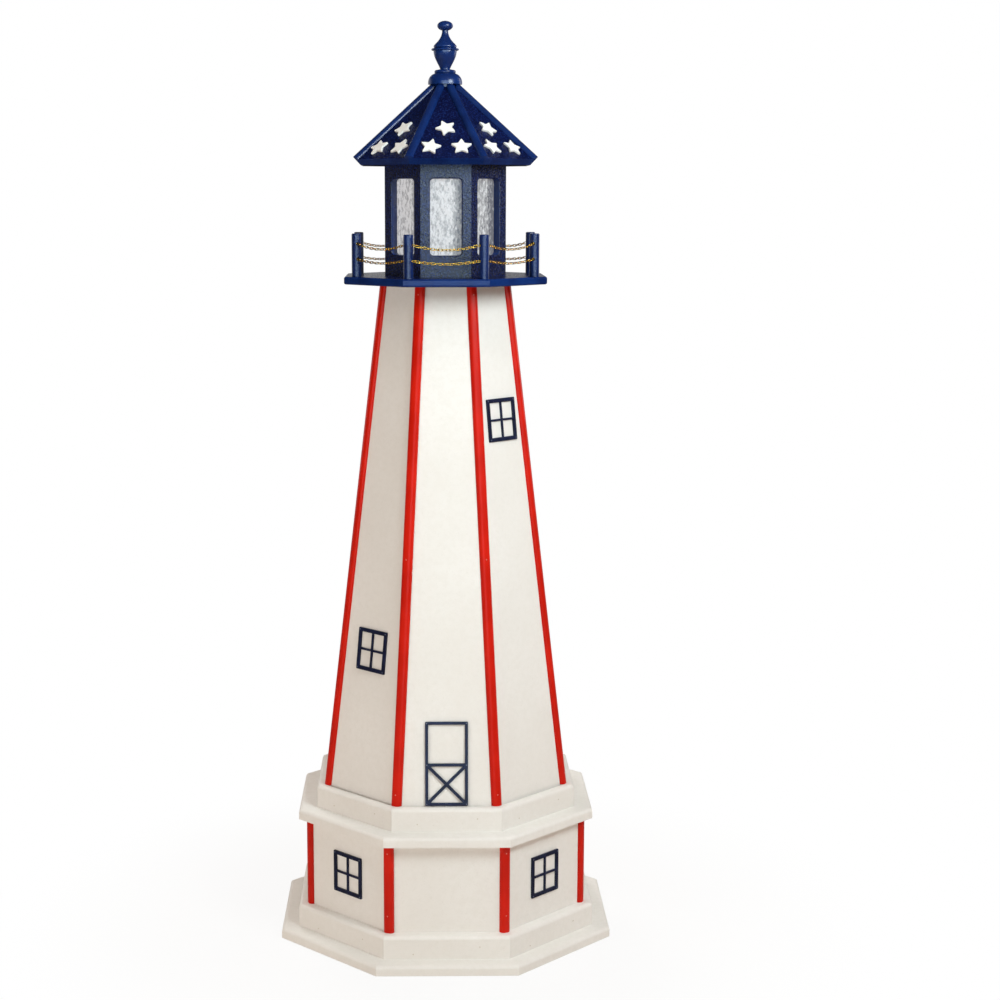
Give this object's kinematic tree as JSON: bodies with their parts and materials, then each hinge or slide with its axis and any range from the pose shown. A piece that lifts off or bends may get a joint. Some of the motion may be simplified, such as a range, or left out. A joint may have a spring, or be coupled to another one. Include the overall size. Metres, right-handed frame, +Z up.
{
  "type": "lighthouse garden ornament",
  "caption": "Eight-sided garden lighthouse of plastic boards: stepped base, tapered tower, chain-railed deck, glazed lantern room and a star-dotted roof that lifts off.",
  "frame": {"origin": "on the ground plane, on the tower's axis, at the middle of the plinth's underside", "axes": "+Z up along the tower's axis; the door faces -Y; +X is to the right of someone who faces the door"},
  "size_m": [0.556, 0.556, 1.5242],
  "materials": {
    "white_board": "smooth white HDPE board, satin",
    "inner_board": "white HDPE board inside the tower, satin",
    "red_trim": "saturated red HDPE strip, satin to glossy",
    "navy_board": "navy blue HDPE with a fine pebbled grain, satin",
    "star_white": "cream white HDPE, satin",
    "frame_navy": "dark navy HDPE, satin",
    "gold_chain": "polished brass wire links",
    "rippled_pane": "clear acrylic sheet with an upright ripple",
    "lamp_plastic": "white moulded lamp holder",
    "cap_metal": "plain screw cap of the bulb",
    "bulb_white": "opal bulb glass",
    "stud_steel": "plain steel stud, sealed inside"
  },
  "bodies": {
    "lighthouse": {"plinth": "white_board", "lower_skirt": "white_board", "mid_plate": "white_board", "upper_skirt": "white_board", "base_panel_1": "white_board", "base_panel_2": "white_board", "base_panel_3": "white_board", "base_panel_4": "white_board", "base_panel_5": "white_board", "base_panel_6": "white_board", "base_panel_7": "white_board", "base_panel_8": "white_board", "tower_panel_1": "white_board", "tower_panel_2": "white_board", "tower_panel_3": "white_board", "tower_panel_4": "white_board", "tower_panel_5": "white_board", "tower_panel_6": "white_board", "tower_panel_7": "white_board", "tower_panel_8": "white_board", "foot_frame": "inner_board", "waist_frame": "inner_board", "head_frame": "inner_board", "base_trims": "red_trim", "tower_trim_1": "red_trim", "tower_trim_2": "red_trim", "tower_trim_3": "red_trim", "tower_trim_4": "red_trim", "tower_trim_5": "red_trim", "tower_trim_6": "red_trim", "tower_trim_7": "red_trim", "tower_trim_8": "red_trim", "deck": "navy_board", "railing_posts": "navy_board", "lantern_wall_1": "navy_board", "lantern_wall_2": "navy_board", "lantern_wall_3": "navy_board", "lantern_wall_4": "navy_board", "lantern_wall_5": "navy_board", "lantern_wall_6": "navy_board", "lantern_wall_7": "navy_board", "lantern_wall_8": "navy_board", "tower_windows": "frame_navy", "base_windows": "frame_navy", "door_frame": "frame_navy", "upper_chain": "gold_chain", "lower_chain": "gold_chain", "lantern_panes": "rippled_pane", "lamp_holder": "lamp_plastic", "bulb_cap": "cap_metal", "bulb_glass": "bulb_white"},
    "roof": {"roof_panels": "navy_board", "roof_ribs": "navy_board", "roof_stars": "star_white", "roof_soffit": "navy_board", "roof_locator": "navy_board", "peak_block": "navy_board", "finial": "navy_board", "finial_stud": "stud_steel"}
  },
  "joints": [
    {"name": "roof_lift", "type": "slide", "parent": "lighthouse", "child": "roof", "axis": [0, 0, 1], "range_m": [0, 0.2]}
  ]
}
